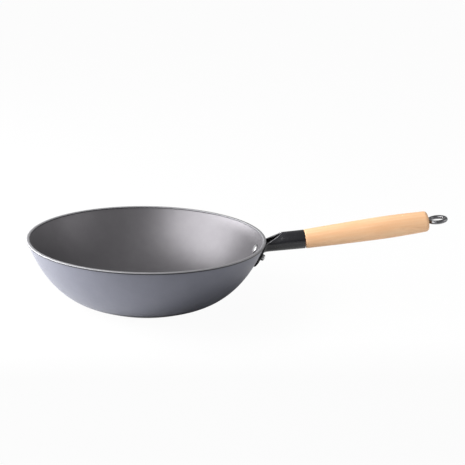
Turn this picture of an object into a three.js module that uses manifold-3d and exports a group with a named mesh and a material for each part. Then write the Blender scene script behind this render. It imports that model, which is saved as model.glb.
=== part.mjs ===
// A wok of thin cast iron with one turned wooden handle.
// The bowl carries a pressed steel bracket on two rivets. The bracket's rolled socket takes the grip's tenon,
// and an eye bolt through the grip draws it tight against a nut inside the socket.
// Millimetres, +Z up. The origin is the centre of the flat base, and the handle points along +X.

import * as THREE from 'three';
import { mergeVertices } from 'three/addons/utils/BufferGeometryUtils.js';
import Module from 'manifold-3d';

const wasm = await Module();
wasm.setup();

// Bowl
const rimRadius = 150;
const bowlHeight = 83.6;
const baseRadius = 54;
const baseBlend = 33;
const wallSteepness = 70;
const wallBlend = 69.5;
const wallThickness = 2.4;
const beadHalfWidth = 2.1;
const beadHalfHeight = 1.45;
const beadProud = 0.4;
const beadStart = -60;
const beadEnd = 190;

// Handle lines: how far the socket's axis passes under the rim, how steeply it rises outwards,
// and how much more steeply the grip rises from the socket's mouth
const socketDrop = 7.4;
const socketPitch = 6.1;
const gripRise = 2.75;

// Bracket, pressed from one sheet
const sheetThickness = 2.2;
const socketReach = 50.4;
const socketMouthRadius = 12;
const socketTaper = 0.5;
const seamGap = 0.8;
const openingLength = 28.8;
const openingHalfAngle = 80;
const openingRounding = 0.68;
const openingDraw = 2;
const underFillet = 9;
const edgeFillet = 3;
const saddleFlatness = 1;
const saddleTipBelow = 35.1;
const saddleTipRadius = 40;
const saddleCornerRadius = 9;
const saddleCornerBelow = 25.1;
const earRadius = 8;
const earShoulder = 60;
const ribHeight = 2.6;
const ribTaperLength = 7;
const ribShare = 0.36;

// Rivets
const rivetSpacing = 27;
const rivetBelow = 20.4;
const rivetShankRadius = 2.5;
const rivetHeadRadius = 6.5;
const rivetHeadHeight = 2;
const rivetTailRadius = 4.1;
const rivetTailHeight = 4.6;
const rivetEdge = 0.6;

// Grip
const gripLength = 159;
const gripFrontProud = 0.2;
const gripSwellRadius = 13.4;
const gripSwellAt = 44.5;
const gripWidestRadius = 14.4;
const gripWidestAt = 106;
const gripEndRadius = 13.2;
const gripEndRounding = 4.4;
const gripFrontRounding = 0.8;
const tenonLength = 24;
const tenonChamfer = 0.8;

// Eye bolt, its nut and the disc behind the tenon
const rodRadius = 2.5;
const rodChamfer = 0.5;
const eyeRadius = 10.9;
const eyeSink = 1.1;
const eyeRoll = 1.2;
const rodPastNut = 2.2;
const nutAcrossFlats = 8;
const nutThickness = 4;
const nutCornerAngle = 30;
const discThickness = 2.5;

// Clearances
const seatGap = 0.3;
const rodClearance = 0.5;

// Facets
const beadSteps = 7;
const bowlFacet = 11.2;
const wallSteps = 12;
const sheetColumns = 34;
const gripSegments = 36;
const smallSegments = 24;

const bowlSegments = Math.round(2 * Math.PI * rimRadius / bowlFacet);
const degrees = Math.PI / 180;
const socketTurn = socketPitch * degrees;
const gripTurn = (socketPitch + gripRise) * degrees;
const alongSocket = new THREE.Vector3(Math.cos(socketTurn), 0, Math.sin(socketTurn));
const aboveSocket = new THREE.Vector3(-Math.sin(socketTurn), 0, Math.cos(socketTurn));
const socketStart = new THREE.Vector3(rimRadius, 0, bowlHeight - socketDrop);
const socketMouth = socketStart.clone().addScaledVector(alongSocket, socketReach);

// The opening on top of the socket, along the socket's axis: its tip, and its end at the bend into the saddle
const openingAt = socketReach - openingLength;
const openingEnd = seatGap + sheetThickness;

// Places along the grip's axis, measured from the middle of the socket's mouth
const shoulderAt = socketMouthRadius * Math.sin(gripRise * degrees) + seatGap;
const gripEndAt = shoulderAt + gripLength;
const gripFrontRadius = socketMouthRadius + gripFrontProud;
const tenonEndAt = shoulderAt - tenonLength;
const discAt = tenonEndAt - seatGap - discThickness;
const nutAt = discAt - seatGap - nutThickness;
const rodEndAt = nutAt - rodPastNut;

// A closed geometry becomes a solid for joining and cutting.
function solidOf(geometry) {
  const bare = geometry.clone();
  bare.deleteAttribute('normal');
  bare.deleteAttribute('uv');
  const merged = mergeVertices(bare, 1e-4);
  const index = merged.index.array;
  const triangles = [];
  for (let i = 0; i < index.length; i += 3) {
    const [a, b, c] = [index[i], index[i + 1], index[i + 2]];
    if (a !== b && b !== c && c !== a) triangles.push(a, b, c);
  }
  return new wasm.Manifold(new wasm.Mesh({
    numProp: 3,
    vertProperties: new Float32Array(merged.attributes.position.array),
    triVerts: new Uint32Array(triangles),
  }));
}

function geometryOf(solid) {
  const mesh = solid.getMesh();
  const geometry = new THREE.BufferGeometry();
  geometry.setAttribute('position', new THREE.BufferAttribute(mesh.vertProperties, 3));
  geometry.setIndex(new THREE.BufferAttribute(mesh.triVerts, 1));
  geometry.computeVertexNormals();
  return geometry;
}

// A turned shape about +Z. The profile runs along the outside from low to high, as [radius, height] pairs.
function turned(profile, segments) {
  const points = profile.map(([radius, height]) => new THREE.Vector2(radius, height));
  const geometry = new THREE.LatheGeometry(points, segments);
  geometry.rotateX(Math.PI / 2);
  return geometry;
}

// Points of a rounded corner about a centre, from one angle to another in degrees.
function roundedCorner(centre, radius, from, to, steps) {
  const points = [];
  for (let i = 0; i <= steps; i += 1) {
    const angle = (from + (to - from) * i / steps) * degrees;
    points.push([centre[0] + radius * Math.cos(angle), centre[1] + radius * Math.sin(angle)]);
  }
  return points;
}

// The outside of the bowl's wall, as a curve of radius and height from the base to the rim.
const wallLean = wallSteepness * degrees;
const wallCurve = new THREE.CubicBezierCurve(
  new THREE.Vector2(baseRadius, 0),
  new THREE.Vector2(baseRadius + baseBlend, 0),
  new THREE.Vector2(
    rimRadius - wallBlend * Math.cos(wallLean),
    bowlHeight - wallBlend * Math.sin(wallLean),
  ),
  new THREE.Vector2(rimRadius, bowlHeight),
);

// The largest value between two limits at which a rising measure is still below its target.
function lastBelow(low, high, measure, target) {
  let [from, to] = [low, high];
  const halvings = 40;
  for (let i = 0; i < halvings; i += 1) {
    const middle = (from + to) / 2;
    if (measure(middle) < target) from = middle;
    else to = middle;
  }
  return from;
}

// The wall at a height: its radius, and the outward normal as [radial, upward] parts.
function wallAt(height) {
  const place = lastBelow(0, 1, (t) => wallCurve.getPoint(t).y, height);
  const tangent = wallCurve.getTangent(place);
  return { radius: wallCurve.getPoint(place).x, normal: [tangent.y, -tangent.x] };
}

// A point off the wall, by its place across the wall and below the rim and its distance outwards.
function offWall(across, below, outwards) {
  const wall = wallAt(bowlHeight - below);
  const angle = across / rimRadius;
  const radius = wall.radius + outwards * wall.normal[0];
  const height = bowlHeight - below + outwards * wall.normal[1];
  return new THREE.Vector3(radius * Math.cos(angle), radius * Math.sin(angle), height);
}

function wallNormal(across, below) {
  return offWall(across, below, 1).sub(offWall(across, below, 0)).normalize();
}

// The bowl: one turned wall of even thickness, with a flattened round bead along the rim.
function bowlGeometry() {
  const outside = [[0, 0]];
  const inside = [];
  const beadCentre = [rimRadius + beadProud - beadHalfWidth, bowlHeight - beadHalfHeight];
  const wallTop = bowlHeight - 2 * beadHalfHeight;
  for (let i = 0; i <= wallSteps; i += 1) {
    const height = wallTop * (i / wallSteps) ** 2;
    const { radius, normal } = wallAt(height);
    outside.push([i === 0 ? baseRadius : radius, height]);
    const innerRadius = radius - wallThickness * normal[0];
    const innerHeight = height - wallThickness * normal[1];
    inside.unshift([i === 0 ? baseRadius : innerRadius, i === 0 ? wallThickness : innerHeight]);
  }
  const flatness = beadHalfHeight / beadHalfWidth;
  const bead = roundedCorner([beadCentre[0], 0], beadHalfWidth, beadStart, beadEnd, beadSteps)
    .map(([radius, height]) => [radius, beadCentre[1] + flatness * height]);
  return turned([...outside, ...bead, ...inside, [0, wallThickness]], bowlSegments);
}

// Each rivet's point on the wall's outside, and the turn from +Z to the wall's normal there.
function rivetPlaces() {
  return [-1, 1].map((side) => {
    const across = side * rivetSpacing / 2;
    const point = offWall(across, rivetBelow, 0);
    const normal = wallNormal(across, rivetBelow);
    const turn = new THREE.Quaternion().setFromUnitVectors(new THREE.Vector3(0, 0, 1), normal);
    return { point, turn };
  });
}

// A straight hole at each rivet, long enough to pass through the wall and the sheet.
function withRivetHoles(geometry) {
  const holeRadius = rivetShankRadius + seatGap;
  const holeLength = 4 * (wallThickness + sheetThickness);
  let solid = solidOf(geometry);
  for (const { point, turn } of rivetPlaces()) {
    const cutter = new THREE.CylinderGeometry(holeRadius, holeRadius, holeLength, smallSegments);
    cutter.rotateX(Math.PI / 2);
    cutter.applyQuaternion(turn);
    cutter.translate(point.x, point.y, point.z);
    solid = solid.subtract(solidOf(cutter));
  }
  return geometryOf(solid);
}

// The socket's outside radius along its axis: a slight taper, narrowest at the bowl.
function socketRadiusAt(along) {
  return socketMouthRadius - (socketReach - along) * Math.tan(socketTaper * degrees);
}

// Half the angle of sheet round the socket, from its underside to its edge. The edges meet at a narrow seam
// on top of the closed part, and draw apart in a V where the socket opens towards the bowl.
function sheetAngleAt(along) {
  const seam = Math.asin(seamGap / 2 / socketRadiusAt(along));
  return Math.PI - Math.max(seam, openingHalfAngle * degrees * openedAt(along) ** openingRounding);
}

// How far the opening has run, from 0 at its tip to 1 at the bend into the saddle.
function openedAt(along) {
  return Math.min(1, Math.max(0, (openingAt - along) / (openingAt - openingEnd)));
}

// A point on the socket's wall: the angle is from the underside, and the inset is into the sheet.
// Beside the opening the upper half is drawn in a little.
function onSocket(angle, along, inset) {
  const opened = openedAt(along);
  const drawnIn = openingDraw * 4 * opened * (1 - opened) * Math.max(0, -Math.cos(angle));
  const radius = socketRadiusAt(along) - inset - drawnIn;
  return socketStart.clone()
    .addScaledVector(alongSocket, along)
    .addScaledVector(aboveSocket, -radius * Math.cos(angle))
    .add(new THREE.Vector3(0, radius * Math.sin(angle), 0));
}

// How far a point lies outside the bowl's wall.
function distanceOffWall(point) {
  const wall = wallAt(Math.min(point.z, bowlHeight));
  return (Math.hypot(point.x, point.y) - wall.radius) * wall.normal[0];
}

// The saddle is flatter than the wall, so it stands off more towards its ears.
function saddleLevelAt(across) {
  return seatGap + sheetThickness + saddleFlatness * across ** 2 / (2 * rimRadius);
}

// Where the socket's wall would run into the saddle, found along the socket's axis.
function cornerAlong(angle, inset, lift) {
  const clear = (along) => {
    const point = onSocket(angle, along, inset);
    return distanceOffWall(point) - saddleLevelAt(point.y);
  };
  return lastBelow(-openingLength, openingAt, clear, lift - inset);
}

// At the bend into the saddle, the sheet's edges lie at this angle from the socket's underside.
const edgeAngle = Math.PI - openingHalfAngle * degrees;

// Half of the saddle's outline on the wall, as across and below: from the tip under the socket along the lower
// edge, round the lower corner, and up the side and round the rivet to the ear's shoulder.
function saddleHalf() {
  const ear = new THREE.Vector2(rivetSpacing / 2, rivetBelow);
  const corner = new THREE.Vector2(ear.x + earRadius - saddleCornerRadius, saddleCornerBelow);
  const tip = new THREE.Vector2(0, saddleTipBelow - saddleTipRadius);
  const apart = corner.clone().sub(tip);
  const tangent = apart.angle() + Math.acos((saddleTipRadius - saddleCornerRadius) / apart.length());
  const outline = new THREE.Path();
  outline.absarc(tip.x, tip.y, saddleTipRadius, Math.PI / 2, tangent, true);
  outline.absarc(corner.x, corner.y, saddleCornerRadius, tangent, 0, true);
  outline.absarc(ear.x, ear.y, earRadius, 0, -earShoulder * degrees, true);
  return outline;
}

const saddleOutline = saddleHalf();

// The pressed rib that carries the socket's underside down the saddle: how far it lifts the sheet off the wall.
function ribLift(share, below) {
  if (Math.abs(share) > ribShare) return 0;
  const crest = Math.cos(share / ribShare * Math.PI / 2) ** 2;
  const toTip = Math.min(1, Math.max(0, (saddleTipBelow - below) / ribTaperLength));
  return ribHeight * crest * Math.sqrt(1 - (1 - toTip) ** 2);
}

// One line of the sheet, from the socket's mouth along the socket, round the bend and out to the saddle's
// outline. The share runs from -1 to 1 across the sheet. The inset is 0 on the outside of the sheet.
function sheetLine(share, inset) {
  const closedSteps = 3;
  const openSteps = 7;
  const bendSteps = 4;
  const saddleSteps = 4;
  const angle = share * edgeAngle;
  const cornerAt = cornerAlong(angle, inset, ribLift(share, 0));
  const fillet = underFillet + (edgeFillet - underFillet) * Math.abs(share);
  const bendAt = cornerAt + fillet;
  const line = [];
  for (let i = 0; i < closedSteps; i += 1) {
    const along = socketReach + (openingAt - socketReach) * i / closedSteps;
    line.push(onSocket(share * sheetAngleAt(along), along, inset));
  }
  for (let i = 0; i < openSteps; i += 1) {
    const along = openingAt + (bendAt - openingAt) * (i / openSteps) ** 2;
    line.push(onSocket(share * sheetAngleAt(along), along, inset));
  }
  const corner = onSocket(angle, cornerAt, inset);
  const start = new THREE.Vector2(Math.atan2(corner.y, corner.x) * rimRadius, bowlHeight - corner.z);
  const end = saddleOutline.getPoint(Math.abs(share));
  end.x *= Math.sign(share);
  const onSaddle = (part) => {
    const spot = start.clone().lerp(end, part);
    return offWall(spot.x, spot.y, saddleLevelAt(spot.x) - inset + ribLift(share, spot.y));
  };
  const bendPart = Math.min(edgeFillet / start.distanceTo(end), 1 / 2);
  const bendStart = onSocket(share * sheetAngleAt(bendAt), bendAt, inset);
  const bend = new THREE.QuadraticBezierCurve3(bendStart, corner, onSaddle(bendPart));
  for (let i = 0; i < bendSteps; i += 1) line.push(bend.getPoint(i / bendSteps));
  for (let i = 0; i <= saddleSteps; i += 1) {
    line.push(onSaddle(bendPart + (1 - bendPart) * i / saddleSteps));
  }
  return line;
}

// The bracket: a sheet with an outer and an inner skin, closed round its edge.
function bracketGeometry() {
  const columns = sheetColumns;
  const skins = [0, sheetThickness].map((inset) => {
    const lines = [];
    for (let i = 0; i <= columns; i += 1) lines.push(sheetLine(2 * i / columns - 1, inset));
    return lines;
  });
  const rows = skins[0][0].length;
  const vertices = skins.flat(2).flatMap((point) => point.toArray());
  const at = (skin, column, row) => (skin * (columns + 1) + column) * rows + row;
  const triangles = [];
  const quad = (a, b, c, d) => triangles.push(a, b, c, a, c, d);
  for (let i = 0; i < columns; i += 1) {
    for (let j = 0; j < rows - 1; j += 1) {
      quad(at(0, i, j), at(0, i, j + 1), at(0, i + 1, j + 1), at(0, i + 1, j));
      quad(at(1, i, j), at(1, i + 1, j), at(1, i + 1, j + 1), at(1, i, j + 1));
    }
    quad(at(0, i, 0), at(0, i + 1, 0), at(1, i + 1, 0), at(1, i, 0));
    quad(at(0, i, rows - 1), at(1, i, rows - 1), at(1, i + 1, rows - 1), at(0, i + 1, rows - 1));
  }
  for (let j = 0; j < rows - 1; j += 1) {
    quad(at(0, 0, j), at(1, 0, j), at(1, 0, j + 1), at(0, 0, j + 1));
    quad(at(0, columns, j), at(0, columns, j + 1), at(1, columns, j + 1), at(1, columns, j));
  }
  const geometry = new THREE.BufferGeometry();
  geometry.setAttribute('position', new THREE.Float32BufferAttribute(vertices, 3));
  geometry.setIndex(triangles);
  return geometry;
}

// A rivet about +Z, with its zero on the bowl's outside wall: a domed head inside and a set tail outside.
function rivetGeometry() {
  const headHollow = rivetHeadRadius ** 2 / (2 * rimRadius);
  const headSeat = -wallThickness - seatGap - headHollow;
  const tailSeat = saddleLevelAt(rivetSpacing / 2 + rivetTailRadius) + seatGap;
  const tailTop = tailSeat + rivetTailHeight;
  const dome = [];
  const domeSteps = 5;
  for (let i = 0; i <= domeSteps; i += 1) {
    const turn = i / domeSteps * Math.PI / 2;
    const height = headSeat - rivetEdge - (rivetHeadHeight - rivetEdge) * Math.cos(turn);
    dome.push([rivetHeadRadius * Math.sin(turn), height]);
  }
  return turned([
    ...dome,
    [rivetHeadRadius, headSeat],
    [rivetShankRadius, headSeat],
    [rivetShankRadius, tailSeat],
    [rivetTailRadius, tailSeat],
    [rivetTailRadius, tailTop - 2 * rivetEdge],
    [rivetTailRadius - rivetEdge, tailTop - rivetEdge],
    [rivetTailRadius - 3 * rivetEdge, tailTop],
    [0, tailTop],
  ], smallSegments);
}

// What fits inside the socket, by its place from the mouth: the room round the socket's own axis,
// and how far that axis lies above the grip's.
function socketFitAt(place) {
  return socketRadiusAt(socketReach + place) - sheetThickness - seatGap;
}

function socketAboveAt(place) {
  return Math.max(0, -place) * Math.tan(gripRise * degrees);
}

// Shapes turned about the grip's axis lie along local +X.
function alongX(geometry) {
  return geometry.rotateY(Math.PI / 2);
}

// The grip: a tapered tenon, a shoulder against the socket's mouth, a long barrel, and a round recess in its
// end that the eye is drawn into. The bore lets the rod through.
function gripGeometry() {
  const bore = rodRadius + rodClearance;
  const barrelStart = shoulderAt + gripFrontRounding;
  const barrelEnd = gripEndAt - gripEndRounding;
  const barrel = new THREE.SplineCurve([
    new THREE.Vector2(gripFrontRadius, barrelStart),
    new THREE.Vector2(gripSwellRadius, shoulderAt + gripSwellAt),
    new THREE.Vector2(gripWidestRadius, shoulderAt + gripWidestAt),
    new THREE.Vector2(gripEndRadius, barrelEnd),
  ]);
  const barrelSteps = 14;
  const frontCentre = [gripFrontRadius - gripFrontRounding, barrelStart];
  const endCentre = [gripEndRadius - gripEndRounding, barrelEnd];
  const eyeReach = eyeRadius + rodRadius;
  const recessRadius = Math.sqrt(eyeReach ** 2 - (eyeReach - eyeSink) ** 2) + seatGap;
  const recessFloor = gripEndAt - eyeSink - seatGap;
  const tenonEndRadius = socketFitAt(tenonEndAt) - socketAboveAt(tenonEndAt);
  const profile = [
    [bore, tenonEndAt],
    [tenonEndRadius - tenonChamfer, tenonEndAt],
    [tenonEndRadius, tenonEndAt + tenonChamfer],
    [socketFitAt(shoulderAt), shoulderAt],
    ...roundedCorner(frontCentre, gripFrontRounding, -90, 0, 3),
    ...barrel.getPoints(barrelSteps).slice(1, -1).map((point) => [point.x, point.y]),
    ...roundedCorner(endCentre, gripEndRounding, 0, 90, 5),
    [recessRadius, gripEndAt],
    [recessRadius, recessFloor],
    [bore, recessFloor],
    [bore, tenonEndAt],
  ];
  return alongX(turned(profile, gripSegments));
}

// The eye bolt: a long rod with a closed eye in one piece.
function eyeBoltGeometry() {
  const eyeNear = gripEndAt - eyeSink;
  const rod = alongX(turned([
    [0, rodEndAt],
    [rodRadius - rodChamfer, rodEndAt],
    [rodRadius, rodEndAt + rodChamfer],
    [rodRadius, eyeNear + rodRadius],
    [0, eyeNear + rodRadius],
  ], 16));
  const eye = new THREE.TorusGeometry(eyeRadius, rodRadius, 12, 40);
  eye.rotateX(eyeRoll * degrees);
  eye.translate(eyeNear + rodRadius + eyeRadius, 0, 0);
  return geometryOf(solidOf(rod).add(solidOf(eye)));
}

// The disc across the socket behind the tenon. It is centred on the socket and bored for the rod below that.
function discGeometry() {
  const radius = socketFitAt(discAt);
  const middle = discAt + discThickness / 2;
  const plate = new THREE.CylinderGeometry(radius, radius, discThickness, gripSegments);
  plate.rotateZ(Math.PI / 2);
  plate.translate(middle, 0, socketAboveAt(middle));
  const hole = rodRadius + rodClearance;
  const cutter = new THREE.CylinderGeometry(hole, hole, 2 * discThickness, smallSegments);
  cutter.rotateZ(Math.PI / 2);
  cutter.translate(middle, 0, 0);
  return geometryOf(solidOf(plate).subtract(solidOf(cutter)));
}

// The nut: a hexagon with a hole, its corners turned off at both ends.
function nutGeometry() {
  const sides = 6;
  const corner = nutAcrossFlats / 2 / Math.cos(Math.PI / sides);
  const block = new THREE.CylinderGeometry(corner, corner, nutThickness, sides);
  block.rotateX(Math.PI / 2);
  block.translate(0, 0, nutThickness / 2);
  const hole = rodRadius + seatGap;
  const cutter = new THREE.CylinderGeometry(hole, hole, 4 * nutThickness, smallSegments);
  cutter.rotateX(Math.PI / 2);
  const turnedOff = (corner - nutAcrossFlats / 2) * Math.tan(nutCornerAngle * degrees);
  const envelope = turned([
    [0, 0],
    [nutAcrossFlats / 2, 0],
    [corner, turnedOff],
    [corner, nutThickness - turnedOff],
    [nutAcrossFlats / 2, nutThickness],
    [0, nutThickness],
  ], gripSegments);
  const nut = geometryOf(solidOf(block).intersect(solidOf(envelope)).subtract(solidOf(cutter)));
  return alongX(nut.translate(0, 0, nutAt));
}

function finish(color, roughness, metalness) {
  return new THREE.MeshStandardMaterial({ color, roughness, metalness });
}

function namedMesh(name, geometry, material) {
  const mesh = new THREE.Mesh(geometry, material);
  mesh.name = name;
  return mesh;
}

const wok = new THREE.Group();
wok.add(namedMesh('wok_bowl', withRivetHoles(bowlGeometry()), finish(0x77777e, 0.5, 0.6)));
wok.add(namedMesh('handle_bracket', withRivetHoles(bracketGeometry()), finish(0x2a2a2e, 0.4, 0.5)));

const rivetNames = ['rivet_near', 'rivet_far'];
rivetPlaces().forEach(({ point, turn }, i) => {
  const rivet = namedMesh(rivetNames[i], rivetGeometry(), finish(0xb9b9bd, 0.3, 0.9));
  rivet.position.copy(point);
  rivet.quaternion.copy(turn);
  wok.add(rivet);
});

const handle = new THREE.Group();
handle.position.copy(socketMouth);
handle.rotation.y = -gripTurn;
handle.add(namedMesh('anchor_disc', discGeometry(), finish(0x2e2e31, 0.5, 0.6)));
handle.add(namedMesh('anchor_nut', nutGeometry(), finish(0x8d8d92, 0.4, 0.9)));
handle.add(namedMesh('wooden_grip', gripGeometry(), finish(0xe9bd8c, 0.6, 0)));
handle.add(namedMesh('eye_bolt', eyeBoltGeometry(), finish(0x57585c, 0.35, 0.9)));
wok.add(handle);

export default wok;
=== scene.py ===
"""Looks of a cast iron wok with one turned wooden handle.

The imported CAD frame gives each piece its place. The classes below model the visible pieces at the same
sizes, dress them in procedural finishes, and set a plain studio round them. Metres, +Z up, the handle
along +X.
"""

import logging
import math
from dataclasses import dataclass, field
from enum import Enum
from typing import Sequence

import bpy
from mathutils import Matrix, Quaternion, Vector


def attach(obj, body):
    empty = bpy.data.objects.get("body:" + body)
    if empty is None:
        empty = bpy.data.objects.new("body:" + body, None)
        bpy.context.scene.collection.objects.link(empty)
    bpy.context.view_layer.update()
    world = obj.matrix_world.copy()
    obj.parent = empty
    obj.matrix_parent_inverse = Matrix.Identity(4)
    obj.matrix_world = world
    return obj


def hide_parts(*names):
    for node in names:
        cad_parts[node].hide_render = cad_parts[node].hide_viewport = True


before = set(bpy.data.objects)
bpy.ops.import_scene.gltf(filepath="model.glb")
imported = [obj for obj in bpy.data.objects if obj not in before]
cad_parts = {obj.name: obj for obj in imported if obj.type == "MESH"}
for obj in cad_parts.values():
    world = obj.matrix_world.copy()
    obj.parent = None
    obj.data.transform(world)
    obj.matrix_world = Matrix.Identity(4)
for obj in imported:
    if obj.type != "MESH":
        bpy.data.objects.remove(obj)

LOG = logging.getLogger("wok")

MM = 0.001
WELD = 1e-6
FULL_TURN = 2 * math.pi
QUAD_FLATNESS = math.radians(12)
QUAD_SKEW = math.radians(60)
# About the length of one of Blender's ring waves at scale 1
RING_WAVE = 0.3
UNSTRETCHED = (1, 1, 1)
ON_THE_FLOOR = (1, 1, 0)

Socket = bpy.types.NodeSocket
Material = bpy.types.Material
Piece = bpy.types.Object
Colour = tuple[float, float, float]
Scale = tuple[float, float, float]
Point = tuple[float, float]


class Body(Enum):
    """The moving bodies of the CAD frame."""

    PAN = "pan"
    EYE = "eye_bolt"


class Slot(Enum):
    """The record's material slots."""

    IRON = "cast_iron_bowl"
    SHEET = "black_sheet"
    STEEL = "rivet_steel"
    BEECH = "beech"
    WIRE = "dark_wire"


# Bench work: small steps that the pieces are modelled with


def deselect_all() -> None:
    """Leave edit mode and clear the selection."""
    active = bpy.context.view_layer.objects.active
    if active is not None and active.mode != "OBJECT":
        bpy.ops.object.mode_set(mode="OBJECT")
    for piece in bpy.context.selected_objects:
        piece.select_set(False)


def take_up(piece: Piece) -> None:
    """Make a piece the only selected and the active one.

    Args:
        piece: The piece.
    """
    deselect_all()
    piece.select_set(True)
    bpy.context.view_layer.objects.active = piece


def edit(piece: Piece) -> None:
    """Open a piece in edit mode with all of it selected.

    Args:
        piece: The piece.
    """
    take_up(piece)
    bpy.ops.object.mode_set(mode="EDIT")
    bpy.ops.mesh.select_all(action="SELECT")


def close_up() -> None:
    """Weld the open piece's doubles, turn its faces outwards and leave edit mode."""
    bpy.ops.mesh.select_all(action="SELECT")
    bpy.ops.mesh.remove_doubles(threshold=WELD)
    bpy.ops.mesh.normals_make_consistent(inside=False)
    bpy.ops.object.mode_set(mode="OBJECT")


def smooth(piece: Piece, degrees: float) -> None:
    """Shade a piece smooth, with creases kept above an angle."""
    take_up(piece)
    bpy.ops.object.shade_smooth_by_angle(angle=math.radians(degrees))


def apply_modifier(piece: Piece, kind: str, **settings: object) -> None:
    """Add a modifier with its settings and apply it.

    Args:
        piece: The piece to change.
        kind: Blender's name for the modifier.
        settings: The modifier's fields.
    """
    take_up(piece)
    modifier = piece.modifiers.new(kind.lower(), kind)
    for key, value in settings.items():
        setattr(modifier, key, value)
    bpy.ops.object.modifier_apply(modifier=modifier.name)


def chain(name: str, points: Sequence[Vector]) -> Piece:
    """Draw a line of edges: one point of a plane, extruded from place to place.

    Args:
        name: The new piece's name.
        points: The places along the line.

    Returns:
        The piece, left open in edit mode with all of it selected.
    """
    deselect_all()
    bpy.ops.mesh.primitive_plane_add(size=MM)
    piece = bpy.context.object
    piece.name = name
    bpy.ops.object.mode_set(mode="EDIT")
    bpy.ops.mesh.select_all(action="SELECT")
    bpy.ops.mesh.merge(type="CENTER")
    bpy.ops.transform.translate(value=points[0])
    for before, after in zip(points, points[1:]):
        bpy.ops.mesh.extrude_region_move(TRANSFORM_OT_translate={"value": after - before})
    bpy.ops.mesh.select_all(action="SELECT")
    return piece


def spun(name: str, points: Sequence[Vector], centre: Vector, axis: Vector, steps: int) -> Piece:
    """Turn a profile about an axis, as on a lathe.

    Args:
        name: The new piece's name.
        points: The profile, in the object's own frame.
        centre: A point on the axis.
        axis: The axis's direction.
        steps: Facets round the axis.

    Returns:
        A closed piece with its faces outwards.
    """
    piece = chain(name, points)
    bpy.ops.mesh.spin(steps=steps, angle=FULL_TURN, center=centre, axis=axis)
    close_up()
    return piece


def cad_copy(node: str, name: str) -> Piece:
    """Copy a CAD node's mesh into a new piece, welded into quads.

    Args:
        node: The CAD node.
        name: The new piece's name.

    Returns:
        The copy.
    """
    piece = bpy.data.objects.new(name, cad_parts[node].data.copy())
    bpy.context.collection.objects.link(piece)
    piece.data.materials.clear()
    edit(piece)
    bpy.ops.mesh.customdata_custom_splitnormals_clear()
    bpy.ops.mesh.remove_doubles(threshold=WELD)
    bpy.ops.mesh.tris_convert_to_quads(face_threshold=QUAD_FLATNESS, shape_threshold=QUAD_SKEW)
    bpy.ops.object.mode_set(mode="OBJECT")
    return piece


def hand_in(piece: Piece, body: Body, node: str) -> None:
    """Parent a piece to the empty of the body that it moves with and hide the CAD node that it stands for.

    Args:
        piece: The finished piece.
        body: The body that it moves with.
        node: The CAD node that it replaces.
    """
    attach(piece, body.value)
    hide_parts(node)


def arc(centre: Point, radius: float, start: float, end: float, steps: int) -> list[Point]:
    """Give the points of an arc in a profile.

    Args:
        centre: The arc's centre.
        radius: Its radius.
        start: The first angle in degrees.
        end: The last angle in degrees.
        steps: How many steps it is divided into.

    Returns:
        The points, first and last included.
    """
    angles = [math.radians(start + (end - start) * i / steps) for i in range(steps + 1)]
    return [(centre[0] + radius * math.cos(a), centre[1] + radius * math.sin(a)) for a in angles]


def spline(t: float, before: float, first: float, second: float, after: float) -> float:
    """Give a value on a smooth curve through four values, between the middle two.

    Args:
        t: 0 at the first and 1 at the second of the middle values.
        before: The value before them.
        first: The first of them.
        second: The second of them.
        after: The value after them.

    Returns:
        The value.
    """
    rise_in, rise_out = (second - before) / 2, (after - first) / 2
    cube = 2 * first - 2 * second + rise_in + rise_out
    square = -3 * first + 3 * second - 2 * rise_in - rise_out
    return cube * t**3 + square * t**2 + rise_in * t + first


def grey(value: float) -> Colour:
    """Give a grey by its brightness."""
    return (value, value, value)


# Finishes


@dataclass(frozen=True)
class Pattern:
    """A noise: cells per metre, octaves, what each octave keeps, the values it is cut between, a stretch."""

    scale: float
    detail: float
    rough: float
    low: float = 0.0
    high: float = 1.0
    stretch: Scale = UNSTRETCHED


@dataclass(frozen=True)
class Relief:
    """A fine unevenness: its pattern, the effect's share and its depth in metres."""

    pattern: Pattern
    strength: float
    depth: float


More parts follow.
